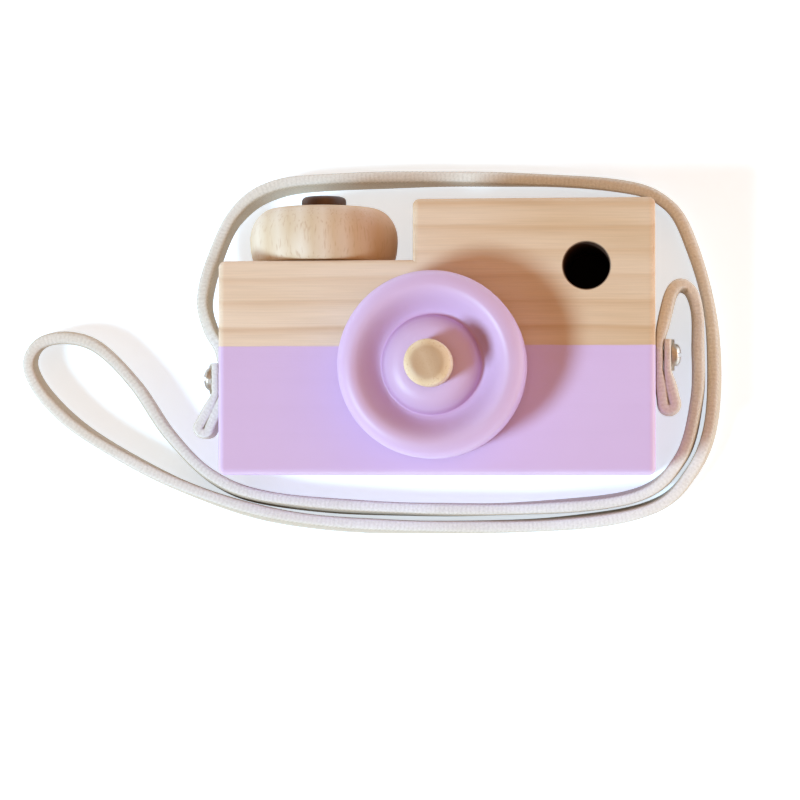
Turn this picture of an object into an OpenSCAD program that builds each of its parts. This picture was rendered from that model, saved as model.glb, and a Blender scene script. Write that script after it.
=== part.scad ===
// Wooden toy camera, lying on its back with its neck strap laid round it.
// +X is to the right as seen from the front, +Y towards the top, +Z out of the lens.
// The origin is the middle of the back face.

/* [Body block] */
// Width of the block
body_w = 95; // [92:1:105]
// Height of the block at its tall right side
body_h = 60; // [56:1:72]
// Depth of the block, front to back
body_d = 35; // [34:1:45]
// Rounding of every outer edge
body_edge_r = 1.5; // [1:0.1:2.6]
// Width of the low shoulder on the left
shoulder_w = 42.5; // [40:0.5:46]
// How far the shoulder lies below the top
shoulder_drop = 13.3; // [10:0.1:16]

/* [Viewfinder hole] */
// Diameter of the hole
viewfinder_d = 10; // [6:0.5:14]
// Distance of its centre from the right side
viewfinder_inset = 14.8; // [12:0.1:20]
// Distance of its centre from the top
viewfinder_drop = 14.8; // [12:0.1:18]
// Chamfer at both mouths
viewfinder_chamfer = 0.4; // [0.2:0.1:1]

/* [Lens wheel] */
// Outer diameter
lens_d = 40; // [36:0.5:44]
// Thickness from back to lip
lens_t = 15; // [12:0.5:20]
// Height of its centre above the bottom
lens_rise = 23.5; // [22:0.5:28]
// Radius of the rounded lip
lens_lip_r = 3.2; // [2:0.1:4]
// Depth of the dished ring below the lip
lens_dish_depth = 5.2; // [3:0.1:7]
// Diameter of the hub at its foot
lens_hub_d = 21.2; // [19:0.1:24]
// How far the hub's top lies below the lip
lens_hub_drop = 1; // [0.5:0.1:2]
// Width of the hub's rounded shoulder
lens_hub_round = 5; // [3:0.1:5.4]
// Rounding of the back edge
lens_back_r = 1.2; // [0.5:0.1:2]

/* [Lens peg] */
// Diameter of the peg's head
lens_peg_head_d = 10; // [9:0.1:12]
// Length of the peg's head
lens_peg_head_len = 9; // [5:0.5:12]
// Width of the chamfer round the head's end
lens_peg_chamfer_w = 1.7; // [1:0.1:2.5]
// Length of that chamfer along the peg
lens_peg_chamfer_len = 1; // [0.5:0.1:2]
// Diameter of the shank
lens_peg_shank_d = 7; // [5:0.1:7.6]
// How far the shank goes into the block
lens_peg_depth = 14; // [8:1:15]

/* [Winder knob] */
// Largest diameter
knob_d = 33; // [28:0.5:34]
// Height of the knob
knob_h = 12.4; // [9:0.1:14]
// Distance of its centre from the left side
knob_inset = 21.3; // [19:0.1:24]
// Height of the widest place above the knob's foot
knob_belly_rise = 5.4; // [3:0.1:7]
// Diameter of the foot
knob_foot_d = 30.4; // [24:0.1:32]
// Diameter of the flat top
knob_top_d = 21.6; // [16:0.1:25]

/* [Knob peg] */
// Diameter of the peg's head
knob_peg_head_d = 10; // [9:0.1:12]
// Length of the peg's head
knob_peg_head_len = 2.4; // [1.5:0.1:6]
// Chamfer round the head's end
knob_peg_chamfer = 0.6; // [0.3:0.1:1]
// Diameter of the shank
knob_peg_shank_d = 7; // [5:0.1:7.6]
// How far the shank goes into the block
knob_peg_depth = 14; // [8:1:16]

/* [Strap] */
// Width of the cotton tape
tape_w = 8; // [6:0.5:10]
// Thickness of the cotton tape
tape_t = 2.8; // [2:0.1:3]
// Height of the left fixing above the bottom
strap_left_rise = 21.5; // [18:0.5:24]
// Height of the right fixing above the bottom
strap_right_rise = 26.5; // [23:0.5:29]
// Length of the folded end that the fixing squeezes
clamp_len = 8; // [7.5:0.1:10]
// Thickness of the two squeezed layers
clamp_t = 3.6; // [3.4:0.1:4]
// Length of the loose fold below the fixing
tail_len = 9.5; // [6:0.5:14]
// Thickness of the loose fold
tail_t = 5.2; // [4:0.1:5.6]
// How far the loose fold stands off the block on the left
tail_flare_left = 2.6; // [0.5:0.1:3]
// How far the loose fold stands off the block on the right
tail_flare_right = 0.4; // [0.2:0.1:2]

/* [Strap fixings] */
// Diameter of the screw's shank
screw_shank_d = 2.5; // [2:0.1:3]
// How far the screw goes into the block
screw_depth = 12; // [8:1:16]
// Diameter of the screw's head
screw_head_d = 5; // [4.4:0.1:6]
// Height of the screw's head
screw_head_h = 1.5; // [1.2:0.1:2]
// Height of the straight rim under the head's dome
screw_rim_h = 0.3; // [0.2:0.1:0.5]
// Width of the slot in the head
screw_slot_w = 0.8; // [0.5:0.1:1]
// Depth of the slot in the head
screw_slot_depth = 0.7; // [0.4:0.1:0.9]
// Diameter of the washer
washer_d = 7; // [6.4:0.1:7.4]
// Thickness of the washer
washer_t = 0.6; // [0.4:0.1:1]

/* [Hidden] */

$fn = 96;

// Radial clearance of a turning piece on its peg
run_gap = 0.1;
// Clearance along the axis at each face of a turning piece
end_gap = 0.3;
// Radial room for glue round a fixed peg or screw
glue_gap = 0.05;
// How far a cut runs past the face it opens
overrun = 1;
// Straight steps in a turned curve
curve_steps = 14;

// Places worked out from the block
right_x = body_w / 2;
left_x = -right_x;
top_y = body_h / 2;
bottom_y = -top_y;
shoulder_y = top_y - shoulder_drop;
step_x = left_x + shoulder_w;
mid_z = body_d / 2;

// Viewfinder hole
viewfinder_x = right_x - viewfinder_inset;
viewfinder_y = top_y - viewfinder_drop;

// Lens wheel and its peg, on one axis out of the front
lens_x = 0;
lens_y = bottom_y + lens_rise;
lens_back_z = body_d + end_gap;
lens_lip_in_r = lens_d / 2 - lens_lip_r;
lens_hub_r = lens_hub_d / 2;
lens_hub_top_r = lens_hub_r - lens_hub_round;
lens_bore_r = lens_peg_shank_d / 2 + run_gap;
lens_peg_head_z = lens_back_z + lens_t - lens_hub_drop + end_gap;

// Winder knob and its peg, on one axis out of the shoulder
knob_x = left_x + knob_inset;
knob_foot_y = shoulder_y + end_gap;
knob_bore_r = knob_peg_shank_d / 2 + run_gap;
knob_peg_head_y = knob_foot_y + knob_h + end_gap;

// Strap fixings, on the middle of each side
left_fix_y = bottom_y + strap_left_rise;
right_fix_y = bottom_y + strap_right_rise;
left_strap_start = [left_x - clamp_t / 2, left_fix_y + clamp_len / 2, mid_z];
right_strap_end = [right_x + clamp_t / 2, right_fix_y + clamp_len / 2, mid_z];
// Straight run of the strap out of each fold
strap_lead = [0, 3.5, 0];

// Route of the strap between its two folds, from left to right: up and over the top, down the
// right side, back along the bottom, round the loop on the left, and home beside itself.
strap_route = [
    [-51.6, 2.5, 17.8], [-53.4, 9, 15], [-52.2, 18, 9.8], [-48, 28.6, 5.8], [-40, 34.8, 4.4],
    [-26, 36.8, 4.2], [8, 37.2, 4.2], [38, 35.6, 4.2], [50, 31.4, 4.2], [55.8, 21.5, 4.2],
    [60.2, 4, 4.2], [60.2, -17, 4.2], [55.5, -29.5, 4.2], [46, -37.5, 4.2], [24, -41.1, 4.2],
    [-12, -41.7, 4.2], [-38, -39.4, 4.2], [-60, -32.6, 4.2], [-80, -22, 4.2], [-90.5, -13.5, 4.2],
    [-95.5, -5.5, 4.2], [-93.5, 0, 4.2], [-87, 1.5, 4.2], [-79.5, -1, 4.2], [-71, -9.5, 4.2],
    [-63, -21, 4.2], [-53, -30.6, 4.2], [-40, -35.4, 4.2], [-14, -37.6, 4.2], [18, -37.5, 4.2],
    [43, -34.6, 4.2], [53.2, -26.2, 4.6], [56.8, -13, 6.5], [57, -1, 9.8], [56.8, 6, 12.6],
    [55.4, 10.4, 14.7], [53, 11.8, 15.9], [51, 10, 16.8]
];
// Rings between one route point and the next
strap_rings_per_span = 2;
// Shares of the tape's half thickness and half width at the corners of its section
section_shares = [[1, 0.8], [0.6, 1], [-0.6, 1], [-1, 0.8], [-1, -0.8], [-0.6, -1], [0.6, -1], [1, -0.8]];

// Rectangle with round corners, its low corner at the origin
module rounded_rect(size, r) {
    translate([r, 0]) square([size.x - 2 * r, size.y]);
    translate([0, r]) square([size.x, size.y - 2 * r]);
    for (x = [r, size.x - r], y = [r, size.y - r])
        translate([x, y]) circle(r);
}

// Block with every edge rounded, its low corner at the origin
module rounded_block(size, r) {
    intersection() {
        linear_extrude(size.z) rounded_rect([size.x, size.y], r);
        rotate([90, 0, 90]) linear_extrude(size.x) rounded_rect([size.y, size.z], r);
        translate([0, size.y, 0]) rotate([90, 0, 0])
            linear_extrude(size.y) rounded_rect([size.x, size.z], r);
    }
}

// Cylinder along +Y from the given point
module along_y(at, r, h) {
    translate(at) rotate([-90, 0, 0]) cylinder(r = r, h = h);
}

// Places its children on a side of the block, with local +Z pointing out of that side
module on_side(side_x, y) {
    translate([side_x, y, mid_z]) rotate([0, side_x > 0 ? 90 : -90, 0]) children();
}

// Solid block cut down at the left to a low shoulder
module body_solid() {
    translate([left_x, bottom_y, 0])
        rounded_block([body_w, body_h - shoulder_drop, body_d], body_edge_r);
    translate([step_x, bottom_y, 0])
        rounded_block([body_w - shoulder_w, body_h, body_d], body_edge_r);
}

// Hole right through the block, with a chamfer at both mouths
module viewfinder_cut() {
    r = viewfinder_d / 2;
    mouth_r = r + viewfinder_chamfer;
    translate([viewfinder_x, viewfinder_y, 0]) {
        translate([0, 0, -overrun]) cylinder(r = r, h = body_d + 2 * overrun);
        cylinder(r1 = mouth_r, r2 = r, h = viewfinder_chamfer);
        translate([0, 0, body_d - viewfinder_chamfer])
            cylinder(r1 = r, r2 = mouth_r, h = viewfinder_chamfer);
    }
}

// Pine block with its holes for the pegs and screws
module body_block() {
    color("#D9C6AF") difference() {
        body_solid();
        viewfinder_cut();
        translate([lens_x, lens_y, body_d - lens_peg_depth])
            cylinder(r = lens_peg_shank_d / 2 + glue_gap, h = lens_peg_depth + overrun);
        along_y([knob_x, shoulder_y - knob_peg_depth, mid_z],
            knob_peg_shank_d / 2 + glue_gap, knob_peg_depth + overrun);
        for (fixing = [[left_x, left_fix_y], [right_x, right_fix_y]])
            on_side(fixing.x, fixing.y) translate([0, 0, -screw_depth])
                cylinder(r = screw_shank_d / 2 + glue_gap, h = screw_depth + overrun);
    }
}

// Height of the dished front at radius r between the lip and the hub's foot
function dish_z(r) =
    lens_t - lens_dish_depth * (1 - cos(180 * (lens_lip_in_r - r) / (lens_lip_in_r - lens_hub_r))) / 2;

// Height of the hub's rounded shoulder at radius r
function hub_z(r) =
    lens_t - lens_dish_depth
    + (lens_dish_depth - lens_hub_drop) * sqrt(1 - pow((r - lens_hub_top_r) / lens_hub_round, 2));

// Half section of the lens wheel: back, round lip, dished ring and raised hub
lens_section = concat(
    [[lens_bore_r, 0]],
    [for (i = [0:curve_steps]) let (a = 90 * i / curve_steps - 90)
        [lens_d / 2 - lens_back_r + lens_back_r * cos(a), lens_back_r + lens_back_r * sin(a)]],
    [for (i = [0:curve_steps]) let (a = 90 * i / curve_steps)
        [lens_lip_in_r + lens_lip_r * cos(a), lens_t - lens_lip_r + lens_lip_r * sin(a)]],
    [for (i = [1:curve_steps]) let (r = lens_lip_in_r + (lens_hub_r - lens_lip_in_r) * i / curve_steps)
        [r, dish_z(r)]],
    [for (i = [1:curve_steps]) let (r = lens_hub_top_r + lens_hub_round * cos(90 * i / curve_steps))
        [r, hub_z(r)]],
    [[lens_bore_r, lens_t - lens_hub_drop]]
);

// Turned and painted lens, free to turn on its peg
module lens_wheel() {
    color("#D1BCE5") translate([lens_x, lens_y, lens_back_z])
        rotate_extrude() polygon(lens_section);
}

// Peg along +Z with its head's underside at z = 0
module headed_peg(head_r, head_len, chamfer_w, chamfer_len, shank_r, shank_len) {
    rotate_extrude() polygon([
        [0, -shank_len], [shank_r, -shank_len], [shank_r, 0], [head_r, 0],
        [head_r, head_len - chamfer_len], [head_r - chamfer_w, head_len], [0, head_len]
    ]);
}

// Peg that the lens turns on, glued into the front of the block
module lens_peg() {
    color("#E5D1B6") translate([lens_x, lens_y, lens_peg_head_z])
        headed_peg(lens_peg_head_d / 2, lens_peg_head_len, lens_peg_chamfer_w, lens_peg_chamfer_len,
            lens_peg_shank_d / 2, lens_peg_head_z - body_d + lens_peg_depth);
}

// Half section of the winder knob: foot, belly and flat top
knob_section = concat(
    [[knob_bore_r, 0]],
    [for (i = [0:curve_steps]) let (a = 90 * i / curve_steps)
        [knob_foot_d / 2 + (knob_d - knob_foot_d) / 2 * sin(a), knob_belly_rise * (1 - cos(a))]],
    [for (i = [1:curve_steps]) let (a = 90 * i / curve_steps)
        [knob_top_d / 2 + (knob_d - knob_top_d) / 2 * cos(a),
         knob_belly_rise + (knob_h - knob_belly_rise) * sin(a)]],
    [[knob_bore_r, knob_h]]
);

// Turned winder knob, free to turn on its peg
module winder_knob() {
    color("#E6DACA") translate([knob_x, knob_foot_y, mid_z]) rotate([-90, 0, 0])
        rotate_extrude() polygon(knob_section);
}

// Peg that the knob turns on, glued into the shoulder
module knob_peg() {
    color("#8A5F3C") translate([knob_x, knob_peg_head_y, mid_z]) rotate([-90, 0, 0])
        headed_peg(knob_peg_head_d / 2, knob_peg_head_len, knob_peg_chamfer, knob_peg_chamfer,
            knob_peg_shank_d / 2, knob_peg_head_y - shoulder_y + knob_peg_depth);
}

// Point and direction on a smooth curve through four points, t from 0 to 1 between the middle two
function curve_point(a, b, c, d, t) =
    (2 * b + (c - a) * t + (2 * a - 5 * b + 4 * c - d) * t * t + (3 * b - a - 3 * c + d) * t * t * t) / 2;
function curve_way(a, b, c, d, t) =
    (c - a + 2 * (2 * a - 5 * b + 4 * c - d) * t + 3 * (3 * b - a - 3 * c + d) * t * t) / 2;

// Whole route with its straight ends and a point past each for the curve to aim at
strap_points = concat(
    [left_strap_start - strap_lead, left_strap_start, left_strap_start + strap_lead],
    strap_route,
    [right_strap_end + strap_lead, right_strap_end, right_strap_end - strap_lead]
);
strap_spans = len(strap_points) - 3;
strap_stations = [for (s = [0:strap_spans - 1], k = [0:strap_rings_per_span - 1]) [s, k / strap_rings_per_span]];
strap_rings = concat(
    [for (station = strap_stations) tape_ring(station[0], station[1])],
    [tape_ring(strap_spans - 1, 1)]
);

// Ring of the tape's section at one station: the tape stands on its edge, so its width is along Z
function tape_ring(span, t) =
    let (
        a = strap_points[span], b = strap_points[span + 1],
        c = strap_points[span + 2], d = strap_points[span + 3],
        middle = curve_point(a, b, c, d, t),
        way = curve_way(a, b, c, d, t),
        across = [way.y, -way.x, 0] / norm([way.x, way.y])
    )
    [for (share = section_shares)
        middle + across * share.x * tape_t / 2 + [0, 0, share.y * tape_w / 2]];

// Flat cotton neck strap standing on its edge
module strap() {
    sides = len(section_shares);
    rings = len(strap_rings);
    last = (rings - 1) * sides;
    walls = [for (r = [0:rings - 2], s = [0:sides - 1]) let (
        here = r * sides + s, next = r * sides + (s + 1) % sides)
        each [[here, next + sides, here + sides], [here, next, next + sides]]];
    color("#D2CAC0") polyhedron(
        points = [for (ring = strap_rings) each ring],
        faces = concat(walls, [
            [for (s = [sides - 1:-1:0]) s],
            [for (s = [0:sides - 1]) last + s]
        ])
    );
}

// Outline of a folded strap end, local X out of the block's side and the fixing at the origin
module strap_end_outline(flare) {
    tail_r = tail_t / 2;
    tail_y = tail_r - clamp_len / 2 - tail_len;
    translate([0, -clamp_len / 2]) square([clamp_t, clamp_len]);
    polygon([[0, -clamp_len / 2], [flare, tail_y], [flare + tail_t, tail_y], [clamp_t, -clamp_len / 2]]);
    translate([flare + tail_r, tail_y]) circle(tail_r);
}

// Folded strap end on one side, with the hole that its screw goes through
module strap_end(side_x, y, flare) {
    color("#C8BEB2") difference() {
        translate([side_x, y, mid_z - tape_w / 2]) mirror([side_x > 0 ? 0 : 1, 0, 0])
            linear_extrude(tape_w) strap_end_outline(flare);
        on_side(side_x, y) translate([0, 0, -overrun])
            cylinder(r = screw_shank_d / 2 + run_gap, h = clamp_t + 2 * overrun);
    }
}

// Flat washer on the folded end
module strap_washer(side_x, y) {
    color("#C4C2BE") on_side(side_x, y) translate([0, 0, clamp_t]) difference() {
        cylinder(d = washer_d, h = washer_t);
        translate([0, 0, -overrun]) cylinder(r = screw_shank_d / 2 + run_gap, h = washer_t + 2 * overrun);
    }
}

// Round-head wood screw with a driver slot
module strap_screw(side_x, y) {
    head_z = clamp_t + washer_t;
    head_r = screw_head_d / 2;
    head_section = concat(
        [[0, 0], [head_r, 0]],
        [for (i = [0:curve_steps]) let (a = 90 * i / curve_steps)
            [head_r * cos(a), screw_rim_h + (screw_head_h - screw_rim_h) * sin(a)]]
    );
    color("#C4C2BE") on_side(side_x, y) {
        translate([0, 0, -screw_depth]) cylinder(d = screw_shank_d, h = screw_depth + head_z);
        difference() {
            translate([0, 0, head_z]) rotate_extrude() polygon(head_section);
            translate([-head_r, -screw_slot_w / 2, head_z + screw_head_h - screw_slot_depth])
                cube([screw_head_d, screw_slot_w, screw_slot_depth + overrun]);
        }
    }
}

body_block();
lens_wheel();
lens_peg();
winder_knob();
knob_peg();
strap();
strap_end(left_x, left_fix_y, tail_flare_left);  // strap_end_left
strap_end(right_x, right_fix_y, tail_flare_right);  // strap_end_right
strap_screw(left_x, left_fix_y);  // strap_screw_left
strap_screw(right_x, right_fix_y);  // strap_screw_right
strap_washer(left_x, left_fix_y);  // strap_washer_left
strap_washer(right_x, right_fix_y);  // strap_washer_right
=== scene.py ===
"""Dresses a wooden toy camera: pine block, painted lens, turned knob, pegs and a woven cotton neck strap.

The toy lies on its back. Sizes in the classes are millimetres in the part's own frame, with +X to the
right as seen from the front, +Y towards the toy's top and +Z out of its lens. Meshes are in metres.
"""

import logging
import math
from collections.abc import Sequence
from dataclasses import dataclass
from enum import Enum
from typing import Any

import bmesh
import bpy
import numpy as np
from bpy.types import ID, Material, Node, NodeSocket, NodeTree, Object
from mathutils import Matrix, Vector


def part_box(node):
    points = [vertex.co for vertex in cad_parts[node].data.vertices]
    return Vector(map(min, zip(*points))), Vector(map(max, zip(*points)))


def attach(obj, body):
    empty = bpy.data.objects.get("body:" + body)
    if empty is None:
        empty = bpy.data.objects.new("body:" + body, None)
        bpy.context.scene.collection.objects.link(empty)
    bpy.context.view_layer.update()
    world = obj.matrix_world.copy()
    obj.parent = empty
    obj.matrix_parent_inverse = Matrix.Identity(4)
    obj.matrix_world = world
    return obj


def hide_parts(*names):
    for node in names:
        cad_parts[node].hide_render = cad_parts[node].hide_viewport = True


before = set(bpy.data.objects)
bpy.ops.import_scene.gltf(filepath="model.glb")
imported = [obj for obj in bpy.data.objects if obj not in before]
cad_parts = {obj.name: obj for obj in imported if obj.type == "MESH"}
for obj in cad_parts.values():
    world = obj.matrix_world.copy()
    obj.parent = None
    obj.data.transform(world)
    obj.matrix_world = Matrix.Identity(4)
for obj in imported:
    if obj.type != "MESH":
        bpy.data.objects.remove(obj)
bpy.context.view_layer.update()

LOG = logging.getLogger("toy_camera")

# One millimetre in the scene's metres
MM = 0.001

# Corners closer than this, in millimetres, become one
WELD = 0.0005

# Points that draw one rounded stretch of an outline
ARC_POINTS = 25

# Layers of ever finer noise in a soft, a plain and a busy pattern
SOFT, PLAIN, BUSY = 1, 2, 3

Pair = tuple[float, float]
Point = tuple[float, float, float]
Section = list[Pair]
Faces = list[tuple[int, ...]]
Values = Sequence[Any] | dict[str, Any]


class Body(Enum):
    """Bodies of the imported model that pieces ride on."""

    CAMERA = "camera"
    LENS = "lens"
    KNOB = "knob"


class Axis(Enum):
    """Axis that a grain or a turned piece follows, as one step along it."""

    X = (1, 0, 0)
    Y = (0, 1, 0)
    Z = (0, 0, 1)

    def across(self) -> Point:
        """Gives 1 on the two ways across the axis and 0 along it."""
        return tuple(1 - step for step in self.value)


# Colours and nodes


def linear(code: str) -> tuple[float, float, float, float]:
    """Turns an sRGB hex colour into linear light.

    Args:
        code: Colour such as "#C7B3DA".

    Returns:
        Red, green, blue and a full alpha.
    """
    shares = [int(code[i:i + 2], 16) / 255 for i in (1, 3, 5)]
    red, green, blue = (s / 12.92 if s <= 0.04045 else ((s + 0.055) / 1.055) ** 2.4 for s in shares)
    return (red, green, blue, 1.0)


def fill_inputs(node: Node, values: Values) -> None:
    """Sets or links a node's inputs.

    Args:
        node: Node to fill.
        values: Values to set, and nodes or outputs to link, by input name or as a list that follows the
            inputs in use. A map takes its value, the range it comes from and the range it goes to. A mix
            takes its share and two colours, and a noise its place, scale and detail.
    """
    if isinstance(values, dict):
        filled = [(node.inputs[name], value) for name, value in values.items()]
    else:
        filled = list(zip([socket for socket in node.inputs if socket.enabled], values))
    for socket, value in filled:
        if isinstance(value, Node):
            value = next(output for output in value.outputs if output.enabled)
        if isinstance(value, NodeSocket):
            node.id_data.links.new(value, socket)
        else:
            socket.default_value = value


def add_node(tree: NodeTree, kind: str, values: Values = (), **settings: Any) -> Node:
    """Adds one node to a tree, with its settings, values and links.

    Args:
        tree: Tree that takes the node.
        kind: Blender's name for the type of node, without the "ShaderNode" that it starts with.
        values: What goes into its inputs, as fill_inputs takes it.
        settings: Attributes of the node itself.

    Returns:
        The new node.
    """
    node = tree.nodes.new("ShaderNode" + kind)
    for name, value in settings.items():
        setattr(node, name, value)
    fill_inputs(node, values)
    return node


def start_material(name: str, **values: Any) -> tuple[Material, Node, Node]:
    """Starts a material with one shader and the piece's own coordinates.

    Args:
        name: Name of the material.
        values: Uniform values of the shader, by socket name with spaces as underscores.

    Returns:
        The material, its shader and a node that gives the place on the piece in millimetres.
    """
    material = bpy.data.materials.new(name)
    material.use_nodes = True
    tree = material.node_tree
    tree.nodes.clear()
    shader = add_node(tree, "BsdfPrincipled", {key.replace("_", " "): value for key, value in values.items()})
    add_node(tree, "OutputMaterial", {"Surface": shader})
    place = add_node(tree, "TexCoord").outputs["Object"]
    return material, shader, add_node(tree, "VectorMath", [place, 1 / MM], operation="SCALE")


def distance_from(tree: NodeTree, place: Node, middle: Point, axis: Axis) -> Node:
    """Measures in a material how far a place on the piece is from an axis.

    Args:
        tree: Tree that takes the nodes.
        place: Node that gives the place on the piece.
        middle: Point on the axis.
        axis: Way that the axis runs.

    Returns:
        The node that gives the distance.
    """
    off_axis = add_node(tree, "VectorMath", [place, middle], operation="SUBTRACT")
    flat = add_node(tree, "VectorMath", [off_axis, axis.across()], operation="MULTIPLY")
    return add_node(tree, "VectorMath", [flat], operation="LENGTH")


# Outlines and meshes


def arc(middle: Pair, radii: Pair, start: float, end: float, points: int = ARC_POINTS) -> Section:
    """Lists points on a stretch of an ellipse.

    Args:
        middle: Centre of the ellipse.
        radii: Its half widths.
        start: First angle in degrees.
        end: Last angle in degrees.
        points: How many points to list.

    Returns:
        Points from the first angle to the last.
    """
    angles = np.radians(np.linspace(start, end, points))
    return [(middle[0] + radii[0] * math.cos(a), middle[1] + radii[1] * math.sin(a)) for a in angles]


def distance_along(line: np.ndarray) -> np.ndarray:
    """Gives the distance from a line's start to each of its points, one row each."""
    return np.concatenate([[0], np.cumsum(np.linalg.norm(np.diff(line, axis=0), axis=1))])


def read_along(line: np.ndarray, run: np.ndarray, places: np.ndarray) -> np.ndarray:
    """Reads a line's columns at new distances along it.

    Args:
        line: Points, one row each, with any values that they carry.
        run: Distance of each point from the start.
        places: Distances to read at.

    Returns:
        The new points, one row each.
    """
    return np.stack([np.interp(places, run, column) for column in line.T], axis=1)


def softened(section: Section, closed: bool, spacing: float = 0.25, passes: int = 6) -> np.ndarray:
    """Spaces a half section's points evenly and rounds its corners as sandpaper and paint do.

    Args:
        section: Radius and height pairs in order.
        closed: True where the last point joins the first.
        spacing: Distance between the new points.
        passes: How many times each point moves towards its neighbours.

    Returns:
        The new points, one row each.
    """
    line = np.array(section + section[:1] if closed else section)
    run = distance_along(line)
    points = read_along(line, run, np.linspace(0, run[-1], int(run[-1] / spacing) + 1))
    if closed:
        points = points[:-1]
    for _ in range(passes):
        moved = (np.roll(points, 1, axis=0) + 2 * points + np.roll(points, -1, axis=0)) / 4
        points = moved if closed else np.vstack([points[:1], moved[1:-1], points[-1:]])
    return points


def band_faces(rows: int, count: int, closed: bool = False) -> Faces:
    """Joins each row of corners to the next with four-sided faces.

    Args:
        rows: How many rows there are.
        count: Corners in each row, which goes all the way round.
        closed: True where the last row joins the first.

    Returns:
        Corner numbers of each face.
    """
    faces: Faces = []
    for row in range(rows if closed else rows - 1):
        near, far = row * count, (row + 1) % rows * count
        faces += [(near + i, near + (i + 1) % count, far + (i + 1) % count, far + i) for i in range(count)]
    return faces


def add_object(name: str, data: ID) -> Object:
    """Makes an object of its data and links it into the scene.

    Args:
        name: Name of the object.
        data: Its mesh, light or camera.

    Returns:
        The new object.
    """
    made = bpy.data.objects.new(name, data)
    bpy.context.scene.collection.objects.link(made)
    return made


def mesh_piece(name: str, points: np.ndarray, faces: Faces) -> Object:
    """Makes a smooth piece and links it into the scene.

    Args:
        name: Name of the piece.
        points: Corners in metres, one row each.
        faces: Corner numbers of each face.

    Returns:
        The new piece.
    """
    mesh = bpy.data.meshes.new(name)
    mesh.from_pydata(points.tolist(), [], faces)
    work = bmesh.new()
    work.from_mesh(mesh)
    bmesh.ops.remove_doubles(work, verts=work.verts, dist=WELD * MM)
    bmesh.ops.recalc_face_normals(work, faces=work.faces)
    work.to_mesh(mesh)
    work.free()
    mesh.shade_smooth()
    return add_object(name, mesh)


def turned_piece(name: str, section: Section, foot: Point, axis: Axis, steps: int = 144) -> Object:
    """Spins a half section into a turned piece.

    Args:
        name: Name of the piece.
        section: Radius and height pairs; it closes on itself unless it starts and ends on the axis.
        foot: Point on the axis that heights are measured from.
        axis: Axis of the lathe, upright or towards the toy's top.
        steps: Facets in one turn.

    Returns:
        The new piece.
    """
    solid = section[0][0] == 0
    points = softened(section, closed=not solid)
    rows = points[1:-1] if solid else points
    angles = np.arange(steps) * 2 * math.pi / steps
    radius, height = rows[:, :1], np.repeat(rows[:, 1:], steps, axis=1)
    side_a, side_b = radius * np.cos(angles), radius * np.sin(angles)
    layers = (side_a, side_b, height) if axis is Axis.Z else (side_b, height, side_a)
    corners = np.stack(layers, axis=-1).reshape(-1, 3)
    faces = band_faces(len(rows), steps, closed=not solid)
    if solid:
        for row, end in ((0, points[0, 1]), (len(rows) - 1, points[-1, 1])):
            faces += [(row * steps + i, row * steps + (i + 1) % steps, len(corners)) for i in range(steps)]
            corners = np.vstack([corners, np.array(axis.value) * end])
    return mesh_piece(name, (corners + np.array(foot)) * MM, faces)


def set_finish(piece: Object, finish: Material) -> None:
    """Puts one material all over a piece.

    Args:
        piece: Piece to dress.
        finish: Its material.
    """
    if piece.material_slots:
        for slot in piece.material_slots:
            slot.material = finish
    else:
        piece.data.materials.append(finish)


def fit_piece(piece: Object, finish: Material, body: Body, slot: str, *nodes: str) -> None:
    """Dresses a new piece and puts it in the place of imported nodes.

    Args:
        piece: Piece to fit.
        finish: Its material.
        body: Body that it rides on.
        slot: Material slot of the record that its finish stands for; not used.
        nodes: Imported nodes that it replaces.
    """
    set_finish(piece, finish)
    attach(piece, body.value)
    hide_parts(*nodes)


def node_box(node: str) -> tuple[Vector, Vector]:
    """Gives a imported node's lowest and highest corners in millimetres.

    Args:
        node: Name of the node.

    Returns:
        The two corners.
    """
    low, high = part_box(node)
    return low / MM, high / MM


# Finishes


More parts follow.
